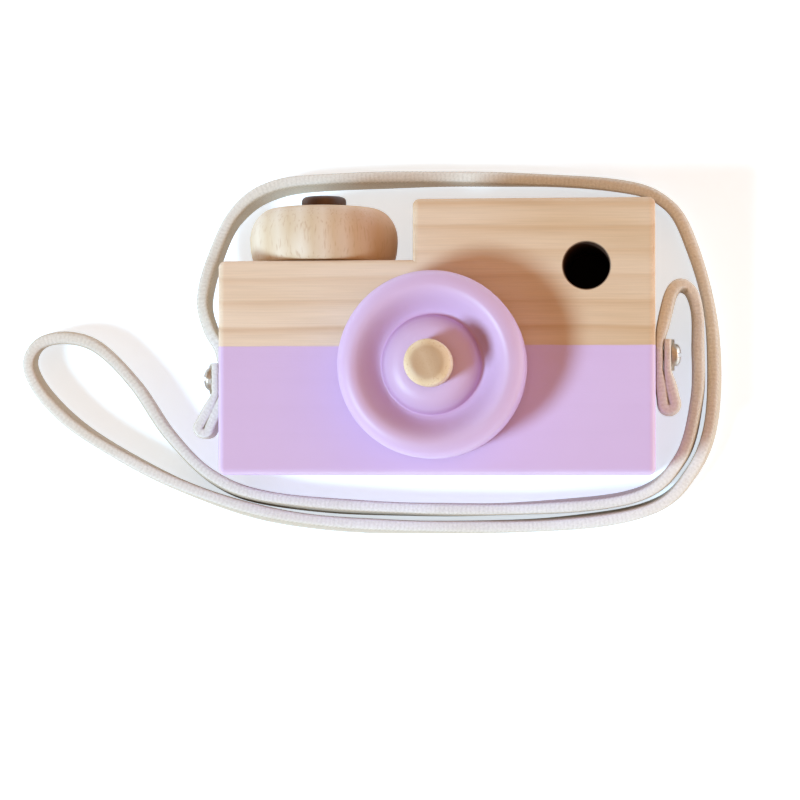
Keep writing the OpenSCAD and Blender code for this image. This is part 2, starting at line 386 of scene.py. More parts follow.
@dataclass(frozen=True)
class PaintedPine:
    """Planed and sanded pine, masked straight across and sprayed with satin paint below the mask.

    The eye sees pale early wood with soft brown late-wood lines along the block, arcs on its ends, and
    a flat milky lilac that hides the colour of the grain but not quite its ridges.
    """

    early_wood: str = "#E8D6C3"
    late_wood: str = "#B98C5C"
    # Darker wood for random patches, and for the painted shade towards the right
    patch_and_shade_wood: str = "#CEB08E"
    paint: str = "#D2B9E2"
    paint_deep: str = "#CDB2DD"
    thin_paint: str = "#DDCAE8"
    # Near-black painted shade on the wall of the viewfinder's bore
    bore_shade: str = "#4A2E1E"
    # Place of the tree's middle behind and below the block
    pith: Point = (0.0, -96.0, -30.0)
    # Distance between late-wood lines, and how weak and how strong a year's line can be
    ring_width: float = 4.6
    line_strengths: Pair = (0.3, 0.95)
    # Power by which a year's wood darkens, and the share of the year after which it pales again
    darkening: float = 4.5
    darkest_share: float = 0.86
    # How far a line strays, and the length and height of one bend in it
    stray: float = 3.0
    bend_length: float = 85.0
    bend_height: float = 15.0
    # Patches of darker wood in one bend, and painted shade that darkens the wood from left to right over
    # twice this reach
    patches: float = 2.3
    painted_shade_reach: float = 25.0
    painted_shade_shares: Pair = (-0.25, 0.3)
    # Length and width of a fibre, wider than a real 0.03 mm so that it shows, and how it shades the wood
    fibre_length: float = 16.0
    fibre_width: float = 0.35
    fibre_range: Pair = (0.25, 0.75)
    fibre_shades: Pair = (0.92, 1.05)
    # Height of the mask, how far paint bleeds along a fibre, and where it thins out above the mask
    paint_line: float = -2.0
    bleed: float = 0.5
    bleed_fades: Pair = (0.15, 0.4)
    # Size of a cloud in the paint, and the light that paint keeps over a late-wood line
    cloud_size: float = 14.0
    ridge_shade: float = 0.965
    # Squareness to the block at which paint is thinnest, what clouds add to that, and the most that it thins
    thinnest_at: float = 0.8
    cloud_wear: float = 0.12
    most_worn: float = 0.8
    # Distances past the hole's wall over which the painted shade in the bore fades
    bore_shade_fades: Pair = (0.03, 0.38)
    wood_roughness: float = 0.66
    paint_roughness: float = 0.46
    fibre_roughness: float = 0.12
    # Heights of fibres in bare wood and under paint, of the paint itself and of its peel, and the peel's size
    wood_relief: float = 0.045
    painted_relief: float = 0.014
    coat_height: float = 0.05
    peel_height: float = 0.016
    peel_size: float = 0.9

    def late_lines(self, tree: NodeTree, place: Node, bent: Node) -> Node:
        """Draws the tree's yearly lines, bent a little along the block.

        Args:
            tree: Tree that takes the nodes.
            place: Node that gives the place on the block.
            bent: Node that gives the place in bends of the grain.

        Returns:
            The node that gives 1 in the strongest late wood and 0 in early wood.
        """
        wander = add_node(tree, "TexNoise", [bent, 1, PLAIN])
        reach = distance_from(tree, place, self.pith, Axis.X)
        strayed = add_node(tree, "Math", [wander, self.stray, reach], operation="MULTIPLY_ADD")
        rings = add_node(tree, "Math", [strayed, self.ring_width], operation="DIVIDE")
        age = add_node(tree, "Math", [rings], operation="FRACT")
        year = add_node(tree, "Math", [rings], operation="FLOOR")
        luck = add_node(tree, "TexWhiteNoise", [year], noise_dimensions="1D")
        strength = add_node(tree, "MapRange", [luck, 0, 1, *self.line_strengths])
        darkened = add_node(tree, "Math", [age, self.darkening], operation="POWER")
        ending = add_node(tree, "MapRange", [age, self.darkest_share, 1, 1, 0])
        late = add_node(tree, "Math", [darkened, ending], operation="MULTIPLY")
        return add_node(tree, "Math", [late, strength], operation="MULTIPLY")

    def bare_wood(
        self, tree: NodeTree, bent: Node, left_right: NodeSocket, late: Node, fibre: Node
    ) -> Node:
        """Colours the wood without paint.

        Args:
            tree: Tree that takes the nodes.
            bent: Node that gives the place in bends of the grain.
            left_right: Output that gives the place along the block.
            late: Node that gives the yearly lines.
            fibre: Node that gives the fibres.

        Returns:
            The node that gives the colour.
        """
        patch = add_node(tree, "TexNoise", [bent, self.patches, SOFT])
        # Painted shade: the wood darkens from left to right
        sides = (-self.painted_shade_reach, self.painted_shade_reach)
        painted_shade_rightwards = add_node(tree, "MapRange", [left_right, *sides, *self.painted_shade_shares])
        patched_and_shaded = add_node(tree, "Math", [patch, painted_shade_rightwards], operation="ADD")
        woods = [linear(self.early_wood), linear(self.patch_and_shade_wood)]
        early = add_node(tree, "Mix", [patched_and_shaded, *woods], data_type="RGBA")
        ringed = add_node(tree, "Mix", [late, early, linear(self.late_wood)], data_type="RGBA")
        shade = add_node(tree, "MapRange", [fibre, *self.fibre_range, *self.fibre_shades])
        return add_node(tree, "VectorMath", [ringed, shade], operation="SCALE")

    def coat(self, tree: NodeTree, place: Node, late: Node) -> Node:
        """Colours the paint, which lies thinner over rounded edges, where the surface turns off the axes.

        Args:
            tree: Tree that takes the nodes.
            place: Node that gives the place on the block.
            late: Node that gives the yearly lines, whose ridges show through.

        Returns:
            The node that gives the colour.
        """
        cloud = add_node(tree, "TexNoise", [place, 1 / self.cloud_size, BUSY])
        paints = [linear(self.paint), linear(self.paint_deep)]
        lilac = add_node(tree, "Mix", [cloud, *paints], data_type="RGBA")
        faint = add_node(tree, "MapRange", [late, 0, 1, 1, self.ridge_shade])
        full = add_node(tree, "VectorMath", [lilac, faint], operation="SCALE")
        facing = add_node(tree, "NewGeometry").outputs["Normal"]
        facing = add_node(tree, "VectorMath", [facing], operation="ABSOLUTE")
        out_x, out_y, out_z = add_node(tree, "SeparateXYZ", [facing]).outputs
        squarest = add_node(tree, "Math", [out_x, out_y], operation="MAXIMUM")
        squarest = add_node(tree, "Math", [squarest, out_z], operation="MAXIMUM")
        rubbed = add_node(tree, "Math", [cloud, self.cloud_wear, squarest], operation="MULTIPLY_ADD")
        worn = add_node(tree, "MapRange", [rubbed, self.thinnest_at, 1, self.most_worn, 0])
        return add_node(tree, "Mix", [worn, full, linear(self.thin_paint)], data_type="RGBA")

    def make(self, hole: Pair, hole_r: float) -> Material:
        """Builds the material.

        Args:
            hole: Centre of the drilled hole, whose wall is darkened with painted shade.
            hole_r: Radius of that hole.

        Returns:
            The finished material.
        """
        material, shader, place = start_material("sanded_pine_with_satin_paint")
        tree = material.node_tree
        left_right, up_down, _ = add_node(tree, "SeparateXYZ", [place]).outputs
        bend = (1 / self.bend_length, 1 / self.bend_height, 1 / self.bend_height)
        bent = add_node(tree, "VectorMath", [place, bend], operation="MULTIPLY")
        thin = (1 / self.fibre_length, 1 / self.fibre_width, 1 / self.fibre_width)
        drawn = add_node(tree, "VectorMath", [place, thin], operation="MULTIPLY")
        fibre = add_node(tree, "TexNoise", [drawn, 1, BUSY])
        late = self.late_lines(tree, place, bent)
        wood = self.bare_wood(tree, bent, left_right, late, fibre)

        # Paint below the mask, whose edge bleeds a little along the fibres
        bled = add_node(tree, "Math", [fibre, self.bleed, up_down], operation="MULTIPLY_ADD")
        fades = [self.paint_line + above for above in self.bleed_fades]
        painted = add_node(tree, "MapRange", [bled, *fades, 1, 0])
        coat = self.coat(tree, place, late)
        outside = add_node(tree, "Mix", [painted, wood, coat], data_type="RGBA")

        # Wall of the drilled hole, darkened with painted shade
        radius = distance_from(tree, place, (*hole, 0), Axis.Z)
        bore_shaded = add_node(tree, "MapRange", [radius, *(hole_r + past for past in self.bore_shade_fades), 1, 0])
        colour = add_node(tree, "Mix", [bore_shaded, outside, linear(self.bore_shade)], data_type="RGBA")

        # Dry wood beside smoother paint
        gloss = add_node(tree, "MapRange", [painted, 0, 1, self.wood_roughness, self.paint_roughness])
        rough = add_node(tree, "Math", [fibre, self.fibre_roughness, gloss], operation="MULTIPLY_ADD")

        # Height in millimetres: open fibres, ridges under the paint, its fine peel and its own thickness
        open_fibre = add_node(tree, "MapRange", [painted, 0, 1, self.wood_relief, self.painted_relief])
        relief = add_node(tree, "Math", [fibre, open_fibre], operation="MULTIPLY")
        peel = add_node(tree, "TexNoise", [place, 1 / self.peel_size, PLAIN])
        peeled = add_node(tree, "Math", [peel, self.peel_height, self.coat_height], operation="MULTIPLY_ADD")
        height = add_node(tree, "Math", [painted, peeled, relief], operation="MULTIPLY_ADD")
        bump = add_node(tree, "Bump", {"Height": height, "Distance": MM})
        fill_inputs(shader, {"Base Color": colour, "Roughness": rough, "Normal": bump})
        return material


@dataclass(frozen=True)
class PaintedTurning:
    """Turned beech under two sprayed coats of satin paint.

    The eye sees an even lilac that is a little deeper where the paint pooled round the hub's foot, with
    painted shade in that crease, and faint rings left by the chisel.
    """

    paint: str = "#D3BBE4"
    paint_deep: str = "#C69FC8"
    # Size of a cloud in the paint, and its share of the deeper colour
    cloud_size: float = 9.0
    cloud_share: float = 0.35
    # Width of the pooled paint and painted crease shade on each side of the hub's foot, and its share of the
    # deeper colour
    pool_width: float = 0.9
    pool_and_shade_share: float = 0.7
    roughness: Pair = (0.36, 0.48)
    # Distance between chisel rings, coarser than a real 0.2 mm so that they show, and their height
    ring_step: float = 1.1
    ring_height: float = 0.0022
    peel_size: float = 0.8
    peel_height: float = 0.016

    def make(self, centre: Pair, pooled_r: float) -> Material:
        """Builds the material.

        Args:
            centre: Place of the axis across the piece.
            pooled_r: Radius of the corner where paint pooled and painted crease shade lies.

        Returns:
            The finished material.
        """
        material, shader, place = start_material("turned_beech_with_satin_paint")
        tree = material.node_tree
        radius = distance_from(tree, place, (*centre, 0), Axis.Z)
        cloud = add_node(tree, "TexNoise", [place, 1 / self.cloud_size, BUSY])
        # Deeper lilac close to the hub's foot: pooled paint and painted crease shade
        away = add_node(tree, "Math", [radius, pooled_r], operation="SUBTRACT")
        apart = add_node(tree, "Math", [away], operation="ABSOLUTE")
        pool_and_crease_shade = add_node(tree, "MapRange", [apart, 0, self.pool_width, self.pool_and_shade_share, 0])
        tone = add_node(tree, "Math", [cloud, self.cloud_share, pool_and_crease_shade], operation="MULTIPLY_ADD")
        paints = [linear(self.paint), linear(self.paint_deep)]
        colour = add_node(tree, "Mix", [tone, *paints], data_type="RGBA")
        rough = add_node(tree, "MapRange", [cloud, 0, 1, *self.roughness])
        turns = add_node(tree, "Math", [radius, 2 * math.pi / self.ring_step], operation="MULTIPLY")
        chisel = add_node(tree, "Math", [turns], operation="SINE")
        peel = add_node(tree, "TexNoise", [place, 1 / self.peel_size, PLAIN])
        peeled = add_node(tree, "Math", [peel, self.peel_height], operation="MULTIPLY")
        height = add_node(tree, "Math", [chisel, self.ring_height, peeled], operation="MULTIPLY_ADD")
        bump = add_node(tree, "Bump", {"Height": height, "Distance": MM})
        fill_inputs(shader, {"Base Color": colour, "Roughness": rough, "Normal": bump})
        return material


@dataclass(frozen=True)
class TurnedBeech:
    """Beech turned along its grain, sanded and oiled; a dark copy of it is painted shade.

    The eye sees close even grain, darkened with painted shade on the side towards the tree's middle, with
    short dark flecks along the sides and thirsty, darker end grain.
    """

    name: str
    light: str
    dark: str
    # Colour of the painted shade on the side towards the tree's middle
    shaded_side: str
    fleck: str
    end_grain: str
    roughness: Pair = (0.42, 0.6)
    # Place of the tree's middle from the lathe's axis, the distances over which the painted shade on that
    # side fades out, and the most it shows
    pith: Point = (38.0, 17.0, 8.0)
    shaded_side_fades: Pair = (22.0, 41.0)
    shaded_side_share: float = 0.8
    # Half of a yearly ring, how far rings sway, and the size of one sway
    half_ring: float = 2.4
    sway: float = 2.2
    sway_size: float = 11.0
    # Length and width of a fleck, twice a real one so that it shows
    fleck_length: float = 3.2
    fleck_width: float = 0.42
    # Where a fleck starts and is full, the most that it shows, and its depth
    fleck_range: Pair = (0.58, 0.72)
    fleck_share: float = 0.4
    fleck_depth: float = 0.03
    # How squarely a cut crosses the fibres where it starts to drink, and what early and late wood soak up
    thirsty_from: float = 0.8
    soaked_shares: Pair = (0.72, 0.95)

    def make(self, axis: Axis, foot: Point) -> Material:
        """Builds the material.

        Args:
            axis: Axis of the lathe, which the grain follows.
            foot: Point on that axis.

        Returns:
            The finished material.
        """
        material, shader, place = start_material(self.name)
        tree = material.node_tree

        # Rings of a tree whose middle lay well to one side of the blank
        pith = tuple(at + off for at, off in zip(foot, self.pith))
        reach = distance_from(tree, place, pith, axis)
        wander = add_node(tree, "TexNoise", [place, 1 / self.sway_size, PLAIN])
        swayed = add_node(tree, "Math", [wander, self.sway, reach], operation="MULTIPLY_ADD")
        rings = add_node(tree, "Math", [swayed, self.half_ring], operation="DIVIDE")
        age = add_node(tree, "Math", [rings, 1], operation="PINGPONG")
        grain = add_node(tree, "Mix", [age, linear(self.light), linear(self.dark)], data_type="RGBA")
        # Painted shade: the side nearest the tree's middle darkens
        painted_side_shade = add_node(tree, "MapRange", [swayed, *self.shaded_side_fades, self.shaded_side_share, 0])
        grain = add_node(tree, "Mix", [painted_side_shade, grain, linear(self.shaded_side)], data_type="RGBA")

        # Short flecks along the grain
        stretch = tuple(1 / self.fleck_length if step else 1 / self.fleck_width for step in axis.value)
        drawn = add_node(tree, "VectorMath", [place, stretch], operation="MULTIPLY")
        speck = add_node(tree, "TexNoise", [drawn, 1, SOFT])
        flecks = add_node(tree, "MapRange", [speck, *self.fleck_range, 0, self.fleck_share])
        flecked = add_node(tree, "Mix", [flecks, grain, linear(self.fleck)], data_type="RGBA")

        # End grain drinks more oil, the more so the squarer the cut runs across the fibres
        facing = add_node(tree, "NewGeometry").outputs["Normal"]
        cut = add_node(tree, "VectorMath", [facing, axis.value], operation="DOT_PRODUCT")
        squareness = add_node(tree, "Math", [cut], operation="ABSOLUTE")
        thirsty = add_node(
            tree, "MapRange", [squareness, self.thirsty_from, 1], interpolation_type="SMOOTHSTEP",
        )
        soaked = add_node(tree, "MapRange", [age, 0, 1, *self.soaked_shares])
        amount = add_node(tree, "Math", [thirsty, soaked], operation="MULTIPLY")
        colour = add_node(tree, "Mix", [amount, flecked, linear(self.end_grain)], data_type="RGBA")
        rough = add_node(tree, "MapRange", [speck, 0, 1, *self.roughness])
        bump = add_node(tree, "Bump", {"Height": speck, "Distance": self.fleck_depth * MM})
        fill_inputs(shader, {"Base Color": colour, "Roughness": rough, "Normal": bump})
        return material


OILED_BEECH = TurnedBeech(
    "turned_oiled_beech", light="#DFD2C0", dark="#D3BFA3", shaded_side="#C58E5E", fleck="#B58F68",
    end_grain="#C9A678",
)
PALE_BEECH = TurnedBeech(
    "turned_pale_beech", light="#E6D3B6", dark="#DCC4A0", shaded_side="#D6BC98", fleck="#BD9366",
    end_grain="#BA9B7C",
)
# Dark copy of the beech: painted shade for the knob's peg, which stands in the knob's shadow
SHADED_PEG_BEECH = TurnedBeech(
    "turned_beech_painted_shade", light="#5A3C26", dark="#472C1B", shaded_side="#402616", fleck="#2E1B10",
    end_grain="#38220F",
)


@dataclass(frozen=True)
class WovenCotton:
    """Unbleached cotton tape in a herringbone weave.

    The eye sees dry beige faces with fine slanting ribs and painted shade in their valleys, faces darkened
    with painted shade against paler edges, a soft fuzz and no shine.
    """

    edge: str = "#E4E3E0"
    # Faces darker than the edges: painted shade on the tape's sides
    face: str = "#C8BCA8"
    # Painted shade in the valleys between the ribs
    valley_shade: str = "#9A8C77"
    grubby: str = "#D8D3C9"
    roughness: float = 0.93
    # Pale sheen of the loose fibres that stand off the yarn
    sheen: float = 0.2
    sheen_roughness: float = 0.6
    # Size and height of the fuzz on the yarn, its share in filling valleys, and how it shades the yarn
    fuzz: float = 0.45
    fuzz_height: float = 0.12
    fuzz_share: float = 0.6
    fuzz_range: Pair = (0.3, 0.7)
    fuzz_shades: Pair = (0.9, 1.05)
    # Size of the faint soiling from handling, where it starts and is full, and the most that it shows
    soiling: float = 22.0
    soiling_range: Pair = (0.4, 0.7)
    soiling_share: float = 0.7
    # Painted shade in the rib valleys: heights at which it is dark and is gone, the most that it shows, and
    # its share left on the edges
    valley_range: Pair = (0.3, 0.95)
    valley_share: float = 0.6
    edge_valley_share: float = 0.18

    def make(self, weave: str, face: str) -> Material:
        """Builds the material.

        Args:
            weave: Name of the mesh attribute that is 1 on a rib and 0 between ribs, where painted shade goes.
            face: Name of the mesh attribute that is 1 on the tape's faces, where painted shade darkens them,
                and 0 on its edges.

        Returns:
            The finished material.
        """
        material, shader, place = start_material(
            "woven_unbleached_cotton", Sheen_Weight=self.sheen, Sheen_Roughness=self.sheen_roughness,
            Roughness=self.roughness,
        )
        tree = material.node_tree
        ribs = add_node(tree, "Attribute", attribute_name=weave).outputs["Fac"]
        face_shade_share = add_node(tree, "Attribute", attribute_name=face).outputs["Fac"]
        fuzz = add_node(tree, "TexNoise", [place, 1 / self.fuzz, BUSY])
        soil = add_node(tree, "TexNoise", [place, 1 / self.soiling, PLAIN])
        handled = add_node(tree, "MapRange", [soil, *self.soiling_range, 0, self.soiling_share])
        rim = add_node(tree, "Mix", [handled, linear(self.edge), linear(self.grubby)], data_type="RGBA")
        raised = add_node(tree, "Math", [fuzz, self.fuzz_share, ribs], operation="MULTIPLY_ADD")
        # Painted shade in the rib valleys, and a little of it on the edges
        valley_shading = add_node(tree, "MapRange", [raised, *self.valley_range, self.valley_share, 0])
        edge_valley_shading = add_node(tree, "Math", [valley_shading, self.edge_valley_share], operation="MULTIPLY")
        woven = add_node(tree, "Mix", [valley_shading, linear(self.face), linear(self.valley_shade)], data_type="RGBA")
        rim = add_node(tree, "Mix", [edge_valley_shading, rim, linear(self.valley_shade)], data_type="RGBA")
        # Painted shade darkens the faces against the pale edges
        cloth = add_node(tree, "Mix", [face_shade_share, rim, woven], data_type="RGBA")
        fluff = add_node(tree, "MapRange", [fuzz, *self.fuzz_range, *self.fuzz_shades])
        colour = add_node(tree, "VectorMath", [cloth, fluff], operation="SCALE")
        bump = add_node(tree, "Bump", {"Height": fuzz, "Distance": self.fuzz_height * MM})
        fill_inputs(shader, {"Base Color": colour, "Normal": bump})
        return material


@dataclass(frozen=True)
class PlatedSteel:
    """Machined steel with a thin nickel plate, gone dull with handling.

    The eye sees a soft warm-grey shine, duller in patches.
    """

    bright: str = "#D8D3CB"
    tarnish: str = "#A8A198"
    # Size of a tarnished patch, and where it starts and is full
    patch: float = 1.6
    patch_range: Pair = (0.35, 0.7)
    roughness: Pair = (0.32, 0.55)

    def make(self) -> Material:
        """Builds the material.

        Returns:
            The finished material.
        """
        material, shader, place = start_material("nickel_plated_steel", Metallic=1.0)
        tree = material.node_tree
        patch = add_node(tree, "TexNoise", [place, 1 / self.patch, BUSY])
        dull = add_node(tree, "MapRange", [patch, *self.patch_range])
        colour = add_node(tree, "Mix", [dull, linear(self.bright), linear(self.tarnish)], data_type="RGBA")
        rough = add_node(tree, "MapRange", [dull, 0, 1, *self.roughness])
        fill_inputs(shader, {"Base Color": colour, "Roughness": rough})
        return material


@dataclass(frozen=True)
class BackLitAcrylic:
    """White acrylic table top with a lamp under it, which keeps the floor pale beside the toy's shadow."""

    white: str = "#D8E5F1"
    lamp: str = "#EBF4FD"
    glow: float = 0.59
    # Size of a duller patch in the surface
    patch: float = 6.0
    roughness: Pair = (0.75, 0.85)

    def make(self) -> Material:
        """Builds the material.

        Returns:
            The finished material.
        """
        material, shader, place = start_material(
            "back_lit_white_acrylic", Base_Color=linear(self.white), Emission_Color=linear(self.lamp),
            Emission_Strength=self.glow,
        )
        tree = material.node_tree
        patch = add_node(tree, "TexNoise", [place, 1 / self.patch, PLAIN])
        fill_inputs(shader, {"Roughness": add_node(tree, "MapRange", [patch, 0, 1, *self.roughness])})
        return material


@dataclass(frozen=True)
class BoreShadeCard:
    """Matt dark paper that paints the shade at the viewfinder's far end, the only part of it that the eye
    sees.
    """

    shade_colour: str = "#2A1A12"
    roughness: float = 0.95

    def make(self) -> Material:
        """Builds the material.

        Returns:
            The finished material.
        """
        return start_material("painted_shade_card", Base_Color=linear(self.shade_colour), Roughness=self.roughness)[0]


# Studio


@dataclass
class Studio:
    """Camera, floor and light round the toy."""

    aim: Point = (-8.5, -13.5, 25.0)
    # Camera's place: turned to the right of straight in front, and lowered a little, in degrees
    turned: float = 5.0
    lowered: float = 1.5
    distance: float = 620.0
    # Width of the picture at the aim
    field_width: float = 176.0
    sensor: float = 36.0
    # Way to the key light
    key_way: Point = (-0.6, -0.31, 0.74)
    key_strength: float = 3.25
    key_colour: str = "#C8EBFF"
    key_spread: float = 14.0
    # Way to the warm light that a wall sends back from the right
    wall_way: Point = (0.72, 0.2, 0.66)
    wall_strength: float = 0.8
    wall_colour: str = "#FFC28C"
    wall_spread: float = 100.0
    # Low white reflector at the right, which lifts the shade on the strap but hardly reaches the front
    reflector_at: Point = (165.0, 0.0, 36.0)
    reflector_size: Pair = (150.0, 36.0)
    reflector_watts: float = 0.06
    reflector_colour: str = "#FFF8F4"
    fill_colour: str = "#FFC890"
    fill_strength: float = 0.41
    # Flat part of the floor, and the sweep that rises round it up to this angle, in degrees
    floor_r: float = 1000.0
    sweep_r: float = 600.0
    sweep_end: float = -20.0
    floor_steps: int = 96
    floor_gap: float = 0.04

    def camera(self) -> None:
        """Makes the camera."""
        turned, lowered = math.radians(self.turned), math.radians(self.lowered)
        back = Vector((math.sin(turned), -math.sin(lowered), math.cos(turned) * math.cos(lowered)))
        back.normalize()
        right = Vector(Axis.Y.value).cross(back).normalized()
        up = back.cross(right)
        data = bpy.data.cameras.new("camera")
        data.sensor_width = self.sensor
        data.lens = self.sensor * self.distance / self.field_width
        camera = add_object("camera", data)
        place = (Vector(self.aim) + back * self.distance) * MM
        camera.matrix_world = Matrix.Translation(place) @ Matrix((right, up, back)).transposed().to_4x4()
        bpy.context.scene.camera = camera

    def lamp(self, name: str, kind: str, strength: float, colour: str, way: Point) -> Object:
        """Makes one lamp.

        Args:
            name: Name of the lamp.
            kind: Blender's name for the type of lamp.
            strength: Its strength in the unit of that type.
            colour: Its colour.
            way: Way to the lamp from the toy.

        Returns:
            The lamp.
        """
        data = bpy.data.lights.new(name, kind)
        data.energy = strength
        data.color = linear(colour)[:3]
        lamp = add_object(name, data)
        lamp.rotation_mode = "QUATERNION"
        lamp.rotation_quaternion = Vector(way).to_track_quat("Z", "Y")
        return lamp

    def light(self) -> None:
        """Makes the key light, the wall's warm light, the reflector and the warm fill from the room."""
        key = self.lamp("key_light", "SUN", self.key_strength, self.key_colour, self.key_way)
        key.data.angle = math.radians(self.key_spread)
        wall = self.lamp("wall_light", "SUN", self.wall_strength, self.wall_colour, self.wall_way)
        wall.data.angle = math.radians(self.wall_spread)
        reflector = self.lamp("reflector", "AREA", self.reflector_watts, self.reflector_colour, Axis.X.value)
        reflector.data.shape = "RECTANGLE"
        reflector.data.size, reflector.data.size_y = (side * MM for side in self.reflector_size)
        reflector.location = Vector(self.reflector_at) * MM
        reflector.visible_camera = False
        world = bpy.data.worlds.new("room_fill")
        world.use_nodes = True
        room = {"Color": linear(self.fill_colour), "Strength": self.fill_strength}
        fill_inputs(world.node_tree.nodes["Background"], room)
        bpy.context.scene.world = world
        bpy.context.scene.view_settings.view_transform = "Standard"

    def floor(self) -> None:
        """Makes the pale floor with its sweep."""
        rim = arc((self.floor_r, self.sweep_r), (self.sweep_r, self.sweep_r), -90, self.sweep_end)
        steps = self.floor_steps
        angles = np.arange(steps) * 2 * math.pi / steps
        rows = [(r * math.cos(a), r * math.sin(a), z - self.floor_gap) for r, z in rim for a in angles]
        corners = np.array(rows + [(0, 0, -self.floor_gap)]) * MM
        middle: Faces = [(i, (i + 1) % steps, len(rows)) for i in range(steps)]
        floor = mesh_piece("studio_floor", corners, middle + band_faces(len(rim), steps))
        set_finish(floor, BackLitAcrylic().make())

    def card(self, middle: Pair, reach: float) -> None:
        """Lays a dark card under the viewfinder as painted shade, so that the floor's lamp doesn't shine up
        through it.

        Args:
            middle: Centre of the hole.
            reach: Half the card's side.
        """
        sides = ((-reach, -reach), (reach, -reach), (reach, reach), (-reach, reach))
        corners = [(middle[0] + x, middle[1] + y, -self.floor_gap / 2) for x, y in sides]
        card = mesh_piece("viewfinder_shade_card", np.array(corners) * MM, [(0, 1, 2, 3)])
        set_finish(card, BoreShadeCard().make())


# Strap


@dataclass
class NeckStrap:
    """Cotton tape, folded under the left fixing, laid round the toy and folded under the right one."""

    width: float = 8.0
    thickness: float = 2.8
    # Power that rounds the tape's section, from 1 for an ellipse down to 0 for a bar with square edges
    roundness: float = 0.4
    section_points: int = 40
    section_samples: int = 721
    # Thickness of one layer under a washer, and in the loose fold below it
    squeezed: float = 1.8
    folded: float = 2.6
    # How far a squeezed layer reaches each side of its screw, and the loose fold's length
    clamp_reach: float = 4.0
    fold_length: float = 9.5
    # How far the left and the right fold stand off the block
    fold_flares: Pair = (2.6, 0.4)
    # Points of the two layers under a washer, as shares of their reach, and down each side of the loose fold
    outer_shares: tuple[float, ...] = (0.85, 0.4, 0.0, -0.45, -0.9)
    inner_shares: tuple[float, ...] = (-0.9, -0.45, 0.0, 0.5)
    hang_shares: tuple[float, ...] = (0.4, 0.75)
    turn_points: int = 5
    # Where the tape leaves a washer: shares of its distance off the block, its reach and its swelling
    leaving_shares: tuple[Point, ...] = ((1.3, 1.0, 0.5), (2.0, 1.75, 1.0))
    # Curve points between two marks, and the distance between rings of the tape
    span_points: int = 40
    ring_step: float = 0.22
    # Ribs of the weave, coarser than a real 0.6 mm so that they show, and their share left on the edges
    rib_pitch: float = 1.0
    rib_height: float = 0.07
    edge_rib_share: float = 0.12
    # Where the edge starts across the tape's half width, and the share over which the face turns into it
    edge_from_share: float = 0.84
    edge_turn_share: float = 0.12
    # Height of the tape's uneven thickness, and the length along it for one radian of that
    ripple_height: float = 0.05
    ripple_length: float = 4.1
    # Lean of the tape's upper edge, in radians, the height at which it stands straight again,
    # and the rise over which it straightens up
    lean: float = 0.13
    lean_ends: float = 9.0
    lean_fade: float = 4.0
    # How the lean swings across the table: lengths for one radian, and where the swing starts
    swing_x: Point = (31.0, 23.0, 0.6)
    swing_y: Pair = (27.0, -0.4)
    weave: str = "weave"
    face: str = "face"
    # Route between the fixings, standing on edge on the table
    route: tuple[Point, ...] = (
        (-51.6, 2.5, 17.8), (-53.4, 9, 15), (-52.2, 18, 9.8), (-48, 28.6, 5.8), (-40, 34.8, 4.4),
        (-26, 36.8, 4.2), (8, 37.2, 4.2), (38, 35.6, 4.2), (50, 31.4, 4.2), (55.8, 21.5, 4.2),
        (60.2, 4, 4.2), (60.2, -17, 4.2), (55.5, -29.5, 4.2), (46, -37.5, 4.2), (24, -41.1, 4.2),
        (-12, -41.7, 4.2), (-38, -39.4, 4.2), (-60, -32.6, 4.2), (-80, -22, 4.2), (-90.5, -13.5, 4.2),
        (-95.5, -5.5, 4.2), (-93.5, 0, 4.2), (-87, 1.5, 4.2), (-79.5, -1, 4.2), (-71, -9.5, 4.2),
        (-63, -21, 4.2), (-53, -30.6, 4.2), (-40, -35.4, 4.2), (-14, -37.6, 4.2), (18, -37.5, 4.2),
        (43, -34.6, 4.2), (53.2, -26.2, 4.6), (56.8, -13, 6.5), (57, -1, 9.8), (56.8, 6, 12.6),
        (55.4, 10.4, 14.7), (53, 11.8, 15.9), (51, 10, 16.8),
    )

    def fold(self, node: str, side: int, flare: float) -> list[tuple[float, float, float, float]]:
        """Lists the tape's middle line and thickness through one folded end.

        Args:
            node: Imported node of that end.
            side: -1 on the left, 1 on the right.
            flare: How far the loose fold stands off the block.

        Returns:
            Place and thickness of each point, from the cut end to where the tape runs free.
        """
        low, high = node_box(node)
        wall = high.x if side < 0 else low.x
        fix_y, middle_z = high.y - self.clamp_reach, (low.z + high.z) / 2
        # Middles of the layer against the block and of the layer over it
        inner, outer = self.squeezed / 2, self.squeezed * 1.5
        turn_r = self.folded / 2
        turn_out, turn_y = flare + self.folded, self.folded - self.clamp_reach - self.fold_length
        down, back = (
            [(top + (end - top) * s, turn_y * s - self.clamp_reach * (1 - s)) for s in self.hang_shares]
            for top, end in ((outer, turn_out + turn_r), (inner, turn_out - turn_r))
        )
        turn = arc((turn_out, turn_y), (turn_r, -turn_r), 0, 180, self.turn_points)
        swelling = self.thickness - self.squeezed
        profile = [(outer, self.clamp_reach * share, self.squeezed) for share in self.outer_shares]
        profile += [(out, y, self.folded) for out, y in (*down, *turn, *reversed(back))]
        profile += [(inner, self.clamp_reach * share, self.squeezed) for share in self.inner_shares]
        profile += [
            (inner * out, self.clamp_reach * up, self.squeezed + swelling * full)
            for out, up, full in self.leaving_shares
        ]
        return [(wall + side * out, fix_y + y, middle_z, thick) for out, y, thick in profile]

